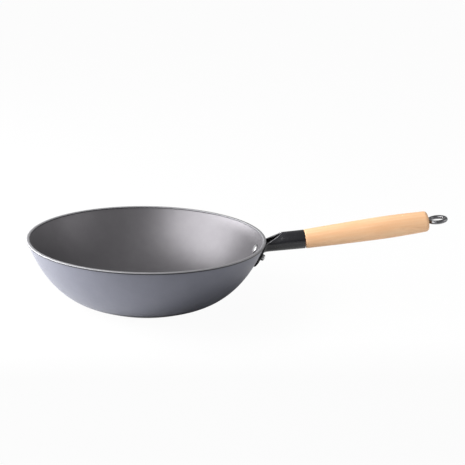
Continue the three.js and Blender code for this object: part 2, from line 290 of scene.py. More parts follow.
class Shading:
    """A node material being drawn up on Object coordinates."""

    def __init__(self, name: str) -> None:
        """Start a material with its main shader.

        Args:
            name: The material's name.
        """
        self.material = bpy.data.materials.new(name)
        self.material.use_nodes = True
        self.tree = self.material.node_tree
        self.shader = self.tree.nodes["Principled BSDF"]
        self.place = self.node("ShaderNodeTexCoord").outputs["Object"]

    def node(self, kind: str, **settings: object) -> bpy.types.Node:
        """Add a node and set its fields.

        Args:
            kind: Blender's name for the node.
            settings: The node's fields.

        Returns:
            The node.
        """
        made = self.tree.nodes.new(kind)
        for key, value in settings.items():
            setattr(made, key, value)
        return made

    def feed(self, socket: Socket, source: object) -> None:
        """Link a socket to an output, or set it to a value.

        Args:
            socket: The socket.
            source: The output or the value.
        """
        if isinstance(source, bpy.types.NodeSocket):
            self.tree.links.new(source, socket)
        else:
            socket.default_value = source

    def turned_to(self, origin: Vector, pitch: float) -> Socket:
        """Give Object coordinates in a frame at an origin whose X rises by a pitch.

        Args:
            origin: The frame's origin.
            pitch: The rise of its X axis, in radians.

        Returns:
            The coordinates.
        """
        mapping = self.node("ShaderNodeMapping", vector_type="TEXTURE")
        self.feed(mapping.inputs["Vector"], self.place)
        mapping.inputs["Location"].default_value = origin
        mapping.inputs["Rotation"].default_value = (0, -pitch, 0)
        return mapping.outputs[0]

    def stretched(self, place: Socket, scale: Scale, shift: Sequence[float] = (0, 0, 0)) -> Socket:
        """Scale and shift coordinates, so that a pattern runs longer one way.

        Args:
            place: The coordinates.
            scale: The factor on each axis.
            shift: What is added after scaling.

        Returns:
            The new coordinates.
        """
        mapping = self.node("ShaderNodeMapping")
        self.feed(mapping.inputs["Vector"], place)
        mapping.inputs["Scale"].default_value = scale
        mapping.inputs["Location"].default_value = shift
        return mapping.outputs[0]

    def noise(self, pattern: Pattern, place: Socket | None = None) -> Socket:
        """Add a noise pattern.

        Args:
            pattern: The pattern.
            place: The coordinates, or None for Object coordinates.

        Returns:
            The pattern's value, about 0.5 on average.
        """
        place = place or self.place
        if pattern.stretch != UNSTRETCHED:
            place = self.stretched(place, pattern.stretch)
        made = self.node("ShaderNodeTexNoise")
        self.feed(made.inputs["Vector"], place)
        made.inputs["Scale"].default_value = pattern.scale
        made.inputs["Detail"].default_value = pattern.detail
        made.inputs["Roughness"].default_value = pattern.rough
        return made.outputs[0]

    def spread(self, source: Socket, low: float, high: float, to_low: float, to_high: float) -> Socket:
        """Map a value from one range to another, clamped.

        Args:
            source: The value.
            low: Where the first range starts.
            high: Where it ends.
            to_low: What its start becomes.
            to_high: What its end becomes.

        Returns:
            The mapped value.
        """
        made = self.node("ShaderNodeMapRange")
        self.feed(made.inputs["Value"], source)
        made.inputs["From Min"].default_value = low
        made.inputs["From Max"].default_value = high
        made.inputs["To Min"].default_value = to_low
        made.inputs["To Max"].default_value = to_high
        return made.outputs[0]

    def share(self, pattern: Pattern, least: float, most: float, place: Socket | None = None) -> Socket:
        """Add a noise pattern, cut between its own two values and spread between two others."""
        return self.spread(self.noise(pattern, place), pattern.low, pattern.high, least, most)

    def blend(self, share: Socket, first: object, second: object) -> Socket:
        """Mix two colours by a share.

        Args:
            share: 0 gives the first and 1 the second.
            first: A colour or an output.
            second: A colour or an output.

        Returns:
            The mixed colour.
        """
        made = self.node("ShaderNodeMix", data_type="RGBA")
        self.feed(made.inputs[0], share)
        self.feed(made.inputs[6], (*first, 1) if isinstance(first, tuple) else first)
        self.feed(made.inputs[7], (*second, 1) if isinstance(second, tuple) else second)
        return made.outputs[2]

    def combine(self, operation: str, first: Socket, second: Socket) -> Socket:
        """Combine two values.

        Args:
            operation: Blender's name for the operation.
            first: The first value.
            second: The second value.

        Returns:
            The result.
        """
        made = self.node("ShaderNodeMath", operation=operation)
        self.feed(made.inputs[0], first)
        self.feed(made.inputs[1], second)
        return made.outputs[0]

    def coordinate(self, axis: str) -> Socket:
        """Give one of the Object coordinates.

        Args:
            axis: X, Y or Z.

        Returns:
            The coordinate.
        """
        made = self.node("ShaderNodeSeparateXYZ")
        self.feed(made.inputs[0], self.place)
        return made.outputs[axis]

    def bump(self, relief: Relief, place: Socket | None = None, below: Socket | None = None) -> Socket:
        """Raise the surface by a relief.

        Args:
            relief: The relief.
            place: The coordinates, or None for Object coordinates.
            below: A bump that this one lies on.

        Returns:
            The bent normal.
        """
        made = self.node("ShaderNodeBump")
        self.feed(made.inputs["Height"], self.noise(relief.pattern, place))
        made.inputs["Strength"].default_value = relief.strength
        made.inputs["Distance"].default_value = relief.depth
        if below is not None:
            self.feed(made.inputs["Normal"], below)
        return made.outputs[0]

    def finish(self, **sockets: object) -> Material:
        """Set the shader's sockets and give the material.

        Args:
            sockets: Socket names with _ for spaces, and what each is fed with.

        Returns:
            The material.
        """
        for name, source in sockets.items():
            socket = self.shader.inputs[name.replace("_", " ")]
            self.feed(socket, (*source, 1) if isinstance(source, tuple) else source)
        return self.material


@dataclass(frozen=True)
class IronFinish:
    """Satin cast iron: fine grain, soft mottling, a dull rim that is partly a painted highlight, and painted
    shade as a dark line below it and a dark foot.
    """

    name: str
    dark: Colour
    light: Colour
    rim: Colour
    rim_from: float
    rim_to: float
    smooth: float
    metal: float
    shade_share: float = 0.0
    shade: Colour = (0.02, 0.02, 0.022)
    crease_from: float = 1.5 * MM
    crease_to: float = 1.2 * MM
    foot_from: float = 7 * MM
    foot_to: float = 14 * MM
    rim_dull: float = 0.6
    satin_range: float = 0.05
    speckle_share: float = 0.5
    mottle: Pattern = Pattern(38, 6, 0.6, 0.2, 0.8)
    speckle: Pattern = Pattern(900, 3, 0.7, 0.62, 0.8)
    satin: Pattern = Pattern(240, 5, 0.6, 0.3, 0.7)
    swells: Relief = Relief(Pattern(260, 3, 0.5), 0.05, 0.2 * MM)
    grain: Relief = Relief(Pattern(1500, 2, 0.6), 0.16, 0.12 * MM)

    def material(self) -> Material:
        """Draw up the material.

        Returns:
            The material.
        """
        s = Shading(self.name)
        up = s.coordinate("Z")
        body = s.blend(s.share(self.mottle, 0, 1), self.dark, self.light)
        body = s.blend(s.share(self.speckle, 0, self.speckle_share), body, self.light)
        # Painted shade: the shade colour darkens a thin band just below the rim bead and the lowest part of
        # the wall, where shadow falls under the lip and where the bowl meets the floor.
        crease_from, crease_to = self.rim_from - self.crease_from, self.rim_from - self.crease_to
        body = s.blend(s.spread(up, crease_from, crease_to, 0, self.shade_share), body, self.shade)
        body = s.blend(s.spread(up, self.foot_from, self.foot_to, self.shade_share, 0), body, self.shade)
        # The lighter rim colour is partly bare metal polished by use and partly a painted highlight where
        # light catches the rounded bead.
        rim = s.spread(up, self.rim_from, self.rim_to, 0, 1)
        satin = s.share(self.satin, self.smooth, self.smooth + self.satin_range)
        return s.finish(
            Base_Color=s.blend(rim, body, self.rim),
            Metallic=self.metal,
            Roughness=s.blend(rim, satin, grey(self.rim_dull)),
            Normal=s.bump(self.grain, below=s.bump(self.swells)),
        )


@dataclass(frozen=True)
class CoatFinish:
    """Satin coating on pressed sheet: black and scuffed in places, and in a light tone a painted highlight
    along edges.
    """

    name: str
    colour: Colour
    scuff_and_highlight_tone: Colour
    scuff_and_highlight_share: float
    smooth: float = 0.24
    dull: float = 0.32
    gloss: float = 0.55
    scuff_and_highlight_pattern: Pattern = Pattern(90, 5, 0.6, 0.5, 0.75)
    satin: Pattern = Pattern(120, 5, 0.6, 0.3, 0.7)
    grain: Relief = Relief(Pattern(900, 2, 0.5), 0.03, 0.1 * MM)

    def material(self) -> Material:
        """Draw up the material.

        Returns:
            The material.
        """
        s = Shading(self.name)
        return s.finish(
            Base_Color=s.blend(s.share(self.scuff_and_highlight_pattern, 0, self.scuff_and_highlight_share), self.colour, self.scuff_and_highlight_tone),
            Roughness=s.share(self.satin, self.smooth, self.dull),
            Specular_IOR_Level=self.gloss,
            Normal=s.bump(self.grain),
        )


@dataclass(frozen=True)
class SteelFinish:
    """Bare or blued steel with fine rubbing marks."""

    name: str
    dark: Colour
    light: Colour
    smooth: float
    dull: float
    marks: Pattern = Pattern(420, 6, 0.7, 0.35, 0.65)
    satin: Pattern = Pattern(300, 4, 0.6, 0.3, 0.7)
    grain: Relief = Relief(Pattern(1400, 3, 0.6), 0.08, 0.1 * MM)

    def material(self) -> Material:
        """Draw up the material.

        Returns:
            The material.
        """
        s = Shading(self.name)
        return s.finish(
            Base_Color=s.blend(s.share(self.marks, 0, 1), self.dark, self.light),
            Metallic=1.0,
            Roughness=s.share(self.satin, self.smooth, self.dull),
            Normal=s.bump(self.grain),
        )


@dataclass(frozen=True)
class BeechFinish:
    """Turned beech under a thin clear varnish: rings, clouds, lengthwise streaks and short ray flecks."""

    name: str
    pale: Colour
    warm: Colour
    fleck: Colour
    origin: Vector
    pitch: float
    pith: Scale = (0, 50 * MM, 30 * MM)
    ring_width: float = 4.2 * MM
    ring_stretch: Scale = (0.12, 1, 1)
    ring_bend: float = 3.0
    ring_detail: float = 3
    ring_waver: float = 0.168
    ring_from: float = 0.1
    ring_share: float = 0.4
    cloud: Pattern = Pattern(1, 4, 0.55, 0.35, 0.7, (14, 55, 55))
    cloud_share: float = 0.75
    streaks: Pattern = Pattern(1, 5, 0.6, 0.5, 0.75, (14, 420, 420))
    streak_share: float = 0.42
    flecks: Pattern = Pattern(1, 1, 0.5, 0.66, 0.74, (260, 2600, 2600))
    fleck_share: float = 0.25
    satin: Pattern = Pattern(1, 5, 0.6, 0.3, 0.7, (14, 420, 420))
    smooth: float = 0.46
    dull: float = 0.58
    gloss: float = 0.25
    varnish: float = 0.15
    varnish_dull: float = 0.45
    pores: Relief = Relief(Pattern(1, 2, 0.5, stretch=(90, 2400, 2400)), 0.1, 0.1 * MM)

    def rings(self, s: Shading, along: Socket) -> Socket:
        """Add the growth rings, whose pith lies beside the grip.

        Args:
            s: The material being drawn up.
            along: Coordinates along the grip.

        Returns:
            The rings' share.
        """
        made = s.node("ShaderNodeTexWave", wave_type="RINGS", rings_direction="X", wave_profile="SAW")
        from_pith = s.stretched(along, UNSTRETCHED, self.pith)
        s.feed(made.inputs["Vector"], s.stretched(from_pith, self.ring_stretch))
        made.inputs["Scale"].default_value = RING_WAVE / self.ring_width
        made.inputs["Distortion"].default_value = self.ring_bend
        made.inputs["Detail"].default_value = self.ring_detail
        made.inputs["Detail Scale"].default_value = self.ring_waver
        return s.spread(made.outputs["Fac"], self.ring_from, 1, 0, self.ring_share)

    def material(self) -> Material:
        """Draw up the material.

        Returns:
            The material.
        """
        s = Shading(self.name)
        along = s.turned_to(self.origin, self.pitch)
        colour = s.blend(self.rings(s, along), self.pale, self.warm)
        colour = s.blend(s.share(self.cloud, 0, self.cloud_share, along), colour, self.warm)
        colour = s.blend(s.share(self.streaks, 0, self.streak_share, along), colour, self.warm)
        colour = s.blend(s.share(self.flecks, 0, self.fleck_share, along), colour, self.fleck)
        return s.finish(
            Base_Color=colour,
            Roughness=s.share(self.satin, self.smooth, self.dull, along),
            Specular_IOR_Level=self.gloss,
            Coat_Weight=self.varnish,
            Coat_Roughness=self.varnish_dull,
            Normal=s.bump(self.pores, along),
        )


# Pieces


@dataclass
class Bowl:
    """The cast bowl: a flat base, one curved wall of even thickness and a rounded bead along the rim."""

    rim_radius: float = 150 * MM
    height: float = 83.6 * MM
    base_radius: float = 54 * MM
    base_blend: float = 33 * MM
    steepness: float = math.radians(70)
    wall_blend: float = 69.5 * MM
    thickness: float = 2.4 * MM
    bead_half_width: float = 2.1 * MM
    bead_half_height: float = 1.45 * MM
    bead_proud: float = 0.4 * MM
    bead_square: float = 0.7
    bead_start: float = -60
    bead_end: float = 190
    bead_steps: int = 20
    bead_share: float = 1.2
    row_gap: float = 0.5 * MM
    upward: float = 0.5
    crease_angle: float = 32
    facets: int = 192
    rows: int = 40
    halvings: int = 40

    def wall(self, share: float) -> tuple[Vector, Vector]:
        """Give the outside wall's point and outward normal, as radius and height.

        Args:
            share: The share of its curve, 0 at the base and 1 at the rim.

        Returns:
            The point and the normal.
        """
        lean = Vector((math.cos(self.steepness), math.sin(self.steepness)))
        base, rim = Vector((self.base_radius, 0)), Vector((self.rim_radius, self.height))
        knots = base, Vector((self.base_radius + self.base_blend, 0)), rim - self.wall_blend * lean, rim
        rest = 1 - share
        weights = rest**3, 3 * rest**2 * share, 3 * rest * share**2, share**3
        point = sum((weight * knot for weight, knot in zip(weights, knots)), Vector((0, 0)))
        legs = [after - before for before, after in zip(knots, knots[1:])]
        way = rest**2 * legs[0] + 2 * rest * share * legs[1] + share**2 * legs[2]
        way.normalize()
        return point, Vector((way.y, -way.x))

    def wall_at(self, height: float) -> tuple[Vector, Vector]:
        """Give the outside wall's point and normal at a height.

        Args:
            height: The height above the floor.

        Returns:
            The point and the normal.
        """
        low, high = 0.0, 1.0
        for _ in range(self.halvings):
            middle = (low + high) / 2
            low, high = (middle, high) if self.wall(middle)[0].y < height else (low, middle)
        return self.wall(low)

    def profile(self) -> list[Vector]:
        """Give the section from the underside's centre round the rim to the inside's centre.

        Returns:
            The section's points.
        """
        wall_top = self.height - 2 * self.bead_half_height
        shares = [i / self.rows for i in range(self.rows + 1)]
        walls = [wall for wall in map(self.wall, shares) if wall[0].y < wall_top - self.row_gap]
        walls.append(self.wall_at(wall_top))
        outside = [(p.x, p.y) for p, _ in walls]
        inside = [(p.x - self.thickness * n.x, p.y - self.thickness * n.y) for p, n in reversed(walls)]
        middle = self.rim_radius + self.bead_proud - self.bead_half_width
        level = self.height - self.bead_half_height
        bead = []
        for corner in arc((0, 0), 1, self.bead_start, self.bead_end, self.bead_steps):
            out, up = (math.copysign(abs(share) ** self.bead_square, share) for share in corner)
            bead.append((middle + self.bead_half_width * out, level + self.bead_half_height * up))
        half = self.base_radius / 2
        points = [(0, 0), (half, 0), *outside, *bead, *inside, (half, self.thickness), (0, self.thickness)]
        return [Vector((x, 0, z)) for x, z in points]

    def build(self, outside: IronFinish, inside: IronFinish, rivets: "Rivets") -> Piece:
        """Turn the bowl, drill it for the rivets and dress it.

        Args:
            outside: The finish of the outer wall.
            inside: The finish of the inner wall.
            rivets: The rivets that pass through it.

        Returns:
            The bowl.
        """
        piece = spun("bowl_casting", self.profile(), Vector(), Vector((0, 0, 1)), self.facets)
        for side in rivets.sides:
            drill = rivets.drill(side)
            apply_modifier(piece, "BOOLEAN", object=drill, operation="DIFFERENCE", solver="EXACT")
            bpy.data.objects.remove(drill)
        piece.data.materials.append(outside.material())
        piece.data.materials.append(inside.material())
        bead_from = self.height - self.bead_share * self.bead_half_height
        for face in piece.data.polygons:
            place = Vector((face.center.x, face.center.y, 0))
            inward = face.normal.dot(place) < 0 or face.normal.z > self.upward
            face.material_index = int(inward and self.thickness / 2 < face.center.z < bead_from)
        smooth(piece, self.crease_angle)
        hand_in(piece, Body.PAN, "wok_bowl")
        return piece


@dataclass
class Rivets:
    """The two set rivets that hold the bracket: a bright domed head inside, a set tail outside."""

    bowl: Bowl
    spacing: float = 27 * MM
    below: float = 20.4 * MM
    shank_radius: float = 2.5 * MM
    head_radius: float = 6.5 * MM
    head_height: float = 2 * MM
    head_edge: float = 0.6 * MM
    dome_steps: int = 12
    tail_radius: float = 4.1 * MM
    tail_height: float = 4.6 * MM
    tail_inset: float = 0.3 * MM
    tail_rise: float = 0.5 * MM
    crown: float = 1.9 * MM
    crown_end: float = 82
    crown_steps: int = 8
    sheet: float = 2.2 * MM
    gap: float = 0.3 * MM
    drill_walls: float = 3
    crease_angle: float = 40
    facets: int = 48
    sides: tuple[int, int] = (-1, 1)

    def axis(self, side: int) -> tuple[Vector, Vector]:
        """Give a rivet's point on the outside wall and the wall's normal there.

        Args:
            side: -1 for the near rivet and 1 for the far one.

        Returns:
            The point and the normal.
        """
        point, normal = self.bowl.wall_at(self.bowl.height - self.below)
        turn = Matrix.Rotation(side * self.spacing / 2 / self.bowl.rim_radius, 3, "Z")
        return turn @ Vector((point.x, 0, point.y)), turn @ Vector((normal.x, 0, normal.y))

    def spin(self, name: str, side: int, section: Sequence[Point]) -> Piece:
        """Turn a section about a rivet's axis.

        Args:
            name: The new piece's name.
            side: -1 for the near rivet and 1 for the far one.
            section: Its points, each a radius and a distance outwards.

        Returns:
            The turned piece.
        """
        point, normal = self.axis(side)
        across = normal.cross(Vector((0, 0, 1))).normalized()
        points = [point + across * radius + normal * out for radius, out in section]
        return spun(name, points, point, normal, self.facets)

    def drill(self, side: int) -> Piece:
        """Make the cutter for a rivet's hole in the bowl."""
        radius, reach = self.shank_radius + self.gap, self.drill_walls * self.bowl.thickness
        return self.spin("drill", side, [(0, -reach), (radius, -reach), (radius, reach), (0, reach)])

    def section(self) -> list[Point]:
        """Give a rivet's section from the head's top to the tail's.

        Returns:
            Its points, each a radius and a distance outwards.
        """
        hollow = self.head_radius**2 / (2 * self.bowl.rim_radius)
        head_seat = -self.bowl.thickness - self.gap - hollow
        tail_across = self.spacing / 2 + self.tail_radius
        tail_seat = self.gap + self.sheet + tail_across**2 / (2 * self.bowl.rim_radius) + self.gap
        tail_top = tail_seat + self.tail_height
        dome = []
        for i in range(self.dome_steps + 1):
            turn = i / self.dome_steps * math.pi / 2
            out = head_seat - self.head_edge - (self.head_height - self.head_edge) * math.cos(turn)
            dome.append((self.head_radius * math.sin(turn), out))
        crown_centre = (self.tail_radius - self.crown, tail_top - self.crown)
        return [
            *dome,
            (self.head_radius, head_seat),
            (self.shank_radius, head_seat),
            (self.shank_radius, tail_seat),
            (self.tail_radius - self.tail_inset, tail_seat),
            (self.tail_radius, tail_seat + self.tail_rise),
            *arc(crown_centre, self.crown, 0, self.crown_end, self.crown_steps),
            (0, tail_top),
        ]

    def build(self, finish: SteelFinish) -> list[Piece]:
        """Turn and dress both rivets.

        Args:
            finish: Their steel.

        Returns:
            The near and the far rivet.
        """
        steel = finish.material()
        pieces = []
        for side, node in zip(self.sides, ("rivet_near", "rivet_far")):
            piece = self.spin(f"set_{node}", side, self.section())
            piece.data.materials.append(steel)
            smooth(piece, self.crease_angle)
            hand_in(piece, Body.PAN, node)
            pieces.append(piece)
        return pieces


@dataclass
class Bracket:
    """The pressed sheet bracket with the disc and the nut inside its socket, refined from the CAD shapes."""

    edge_round: float = 0.32 * MM
    disc_round: float = 0.3 * MM
    nut_round: float = 0.18 * MM
    round_steps: int = 2
    sharp: float = math.radians(48)
    crease_angle: float = 38
    opening_from: float = 149 * MM
    opening_to: float = 172 * MM
    opening_bevel_share: float = 2.2

    def build(self, coat: CoatFinish, edge_highlight_finish: CoatFinish, steel: SteelFinish) -> list[Piece]:
        """Round the edges of the three pieces and dress them.

        Args:
            coat: The finish of the sheet's faces.
            edge_highlight_finish: The finish of the painted highlight along its edges at the opening's near
                side.
            steel: The nut's steel.

        Returns:
            The bracket, the disc and the nut.
        """
        black, edges = coat.material(), edge_highlight_finish.material()
        bracket = self.rounded("handle_bracket", "pressed_bracket", self.edge_round, [black, edges])
        disc = self.rounded("anchor_disc", "tie_disc", self.disc_round, [black, edges])
        nut = self.rounded("anchor_nut", "tie_nut", self.nut_round, [steel.material()])
        hand_in(bracket, Body.PAN, "handle_bracket")
        hand_in(disc, Body.PAN, "anchor_disc")
        hand_in(nut, Body.PAN, "anchor_nut")
        return [bracket, disc, nut]

    def in_opening(self, place: Vector) -> bool:
        """Tell whether a place lies along the socket's opening."""
        return self.opening_from < place.x < self.opening_to

    def rounded(self, node: str, name: str, width: float, materials: Sequence[Material]) -> Piece:
        """Copy a CAD node and bevel its sharp edges, which take the last material, a painted highlight, at
        the opening's near side.

        Args:
            node: The CAD node.
            name: The new piece's name.
            width: The bevel's width.
            materials: The faces' material, and the painted edge highlight's where they have their own.

        Returns:
            The rounded piece.
        """
        piece = cad_copy(node, name)
        for material in materials:
            piece.data.materials.append(material)
        weights = piece.data.attributes.new("bevel_weight_edge", "FLOAT", "EDGE")
        sharp = self.sharp_edges(piece)
        for edge in piece.data.edges:
            if edge.key in sharp:
                middle = sum((piece.data.vertices[i].co for i in edge.key), Vector()) / 2
                weights.data[edge.index].value = self.opening_bevel_share if self.in_opening(middle) else 1.0
        apply_modifier(
            piece,
            "BEVEL",
            width=width,
            segments=self.round_steps,
            limit_method="WEIGHT",
            material=len(materials) - 1,
            use_clamp_overlap=False,
        )
        # Only bevels at the near side of the opening keep the painted highlight; the rest take the coat.
        for face in piece.data.polygons:
            painted_edge_highlight = self.in_opening(face.center) and face.center.y < 0
            face.material_index = face.material_index if painted_edge_highlight else 0
        smooth(piece, self.crease_angle)
        return piece

    def sharp_edges(self, piece: Piece) -> set[tuple[int, int]]:
        """Find a piece's sharp edges.

        Args:
            piece: The piece before its edges are rounded.

        Returns:
            The edges' keys.
        """
        beside: dict[tuple[int, int], list[Vector]] = {}
        for face in piece.data.polygons:
            for key in face.edge_keys:
                beside.setdefault(key, []).append(face.normal)
        pairs = {key: sides for key, sides in beside.items() if len(sides) == 2}
        return {key for key, sides in pairs.items() if sides[0].angle(sides[1]) > self.sharp}


@dataclass
class Handle:
    """The wooden grip and the eye bolt through it, both on the grip's rising axis."""

    mouth: Vector = field(default_factory=lambda: Vector((200.115, 0, 81.556)) * MM)
    pitch: float = math.radians(8.85)
    shoulder: float = 0.876 * MM
    length: float = 159 * MM
    front_radius: float = 12.2 * MM
    front_round: float = 0.8 * MM
    front_steps: int = 5
    swell: Point = (13.4 * MM, 44.5 * MM)
    widest: Point = (14.4 * MM, 106 * MM)
    barrel_steps: int = 12
    end_radius: float = 13.2 * MM
    end_round: float = 4.4 * MM
    end_steps: int = 12
    recess_lip: float = 0.35 * MM
    tenon_end: float = -23.124 * MM
    tenon_root_radius: float = 9.49 * MM
    tenon_tip_radius: float = 8.19 * MM
    tenon_chamfer: float = 0.8 * MM
    rod_radius: float = 2.5 * MM
    rod_end: float = -32.424 * MM
    rod_facets: int = 32
    bore_radius: float = 3 * MM
    eye_radius: float = 10.9 * MM
    eye_sink: float = 1.1 * MM
    eye_roll: float = math.radians(1.2)
    eye_facets: int = 72
    wire_facets: int = 20
    gap: float = 0.3 * MM
    thread_pitch: float = 0.8 * MM
    thread_length: float = 14 * MM
    thread_depth: float = 0.35 * MM
    thread_sink: float = 0.05 * MM
    thread_half: float = 0.45
    thread_facets: int = 24
    crease_angle: float = 40
    facets: int = 96

    def at(self, along: float, across: float = 0.0) -> Vector:
        """Give a point of the handle's middle plane.

        Args:
            along: Its place along the grip's axis.
            across: Its distance above that axis.

        Returns:
            The point.
        """
        way = Vector((math.cos(self.pitch), 0, math.sin(self.pitch)))
        above = Vector((-way.z, 0, way.x))
        return self.mouth + along * way + across * above

    def axis(self) -> Vector:
        """Give the way along the grip."""
        return self.at(1) - self.mouth

    def barrel(self) -> list[Point]:
        """Give the barrel's section from the shoulder to the rounded end.

        Returns:
            Its points, each a radius and a place along.
        """
        knots = [
            (self.front_radius, self.shoulder + self.front_round),
            (self.swell[0], self.shoulder + self.swell[1]),
            (self.widest[0], self.shoulder + self.widest[1]),
            (self.end_radius, self.shoulder + self.length - self.end_round),
        ]
        padded = [knots[0], *knots, knots[-1]]
        section = []
        for before, first, second, after in zip(padded, padded[1:], padded[2:], padded[3:]):
            for i in range(self.barrel_steps):
                t = i / self.barrel_steps
                section.append(tuple(spline(t, *values) for values in zip(before, first, second, after)))
        return section[1:]

    def build_grip(self, finish: BeechFinish) -> Piece:
        """Turn the grip with its tenon, bore and end recess, and dress it.

        Args:
            finish: The wood.

        Returns:
            The grip.
        """
        end = self.shoulder + self.length
        reach = self.eye_radius + self.rod_radius
        recess = math.sqrt(reach**2 - (reach - self.eye_sink) ** 2) + self.gap
        floor = end - self.eye_sink - self.gap
        front = (self.front_radius - self.front_round, self.shoulder + self.front_round)
        back = (self.end_radius - self.end_round, end - self.end_round)
        section = [
            (self.bore_radius, self.tenon_end),
            (self.tenon_tip_radius - self.tenon_chamfer, self.tenon_end),
            (self.tenon_tip_radius, self.tenon_end + self.tenon_chamfer),
            (self.tenon_root_radius, self.shoulder),
            *arc(front, self.front_round, -90, 0, self.front_steps),
            *self.barrel(),
            *arc(back, self.end_round, 0, 90, self.end_steps),
            (recess + self.recess_lip, end),
            (recess, end - self.recess_lip),
            (recess, floor),
            (self.bore_radius, floor),
            (self.bore_radius, self.tenon_end),
        ]
        points = [self.at(along, radius) for radius, along in section]
        piece = spun("turned_grip", points, self.mouth, self.axis(), self.facets)
        piece.data.materials.append(finish.material())
        smooth(piece, self.crease_angle)
        hand_in(piece, Body.PAN, "wooden_grip")
        return piece

    def build_eye(self, finish: SteelFinish) -> Piece:
        """Turn the rod, spin the eye, cut the thread and join them.

        Args:
            finish: The wire's steel.

        Returns:
            The eye bolt.
        """
        eye_foot = self.shoulder + self.length - self.eye_sink + self.rod_radius
        root = self.rod_radius - self.thread_depth
        thread_end = self.rod_end + self.thread_length
        rod = [
            (0, self.rod_end),
            (root, self.rod_end),
            (root, thread_end),
            (self.rod_radius, thread_end + self.thread_depth),
            (self.rod_radius, eye_foot),
            (0, eye_foot),
        ]
        points = [self.at(along, radius) for radius, along in rod]
        piece = spun("eye_bolt_wire", points, self.mouth, self.axis(), self.rod_facets)
        eye = self.ring(eye_foot + self.eye_radius)
        apply_modifier(piece, "BOOLEAN", object=eye, operation="UNION", solver="EXACT")
        bpy.data.objects.remove(eye)
        thread = self.thread(root)
        take_up(piece)
        thread.select_set(True)
        bpy.ops.object.join()
        piece.data.materials.clear()
        piece.data.materials.append(finish.material())
        smooth(piece, self.crease_angle)
        hand_in(piece, Body.EYE, "eye_bolt")
        return piece

    def ring(self, along: float) -> Piece:
        """Spin the closed eye about its own centre.

        Args:
            along: The place of the eye's centre along the grip's axis.

        Returns:
            The eye.
        """
        centre = self.at(along)
        roll = Quaternion(self.axis(), self.eye_roll)
        flat = roll @ (self.at(0, 1) - self.mouth)
        way = self.axis().normalized()
        wire = arc((0, 0), self.rod_radius, 0, 360, self.wire_facets)
        points = [centre + way * (self.eye_radius + out) + flat * up for out, up in wire]
        return spun("eye_ring", points, centre, flat, self.eye_facets)

    def thread(self, root: float) -> Piece:
        """Wind the rod's thread as a ridge along a helix.

        Args:
            root: The thread's root radius.

        Returns:
            The ridge.
        """
        half = self.thread_pitch * self.thread_half
        foot = root - self.thread_sink
        section = [Vector((foot, 0, -half)), Vector((self.rod_radius, 0, 0)), Vector((foot, 0, half))]
        ridge = chain("rod_thread", section)
        bpy.ops.object.mode_set(mode="OBJECT")
        apply_modifier(
            ridge,
            "SCREW",
            axis="Z",
            angle=FULL_TURN,
            screw_offset=self.thread_pitch,
            iterations=int(self.thread_length / self.thread_pitch) - 1,
            steps=self.thread_facets,
            render_steps=self.thread_facets,
            use_merge_vertices=True,
        )
        stand = Vector((0, 0, 1)).rotation_difference(self.axis().normalized()).to_matrix().to_4x4()
        ridge.data.transform(Matrix.Translation(self.at(self.rod_end + self.thread_pitch)) @ stand)
        edit(ridge)
        close_up()
        return ridge


# Studio


@dataclass(frozen=True)
class Lamp:
    """A soft lamp: its turn from -Y towards +X, its lift, its reach and size in metres, its watts."""

    name: str
    turn: float
    lift: float
    reach: float
    width: float
    height: float
    power: float


@dataclass(frozen=True)
class Patch:
    """A round patch of the floor that fades from its inner to its outer radius."""

    centre: Point
    inner: float
    outer: float

    def share(self, s: Shading) -> Socket:
        """Give 1 on the patch and 0 outside it.

        Args:
            s: The floor's material being drawn up.

        Returns:
            The share.
        """
        away = s.node("ShaderNodeVectorMath", operation="LENGTH")
        s.feed(away.inputs[0], s.stretched(s.place, ON_THE_FLOOR, (-self.centre[0], -self.centre[1], 0)))
        return s.spread(away.outputs["Value"], self.inner, self.outer, 1, 0)


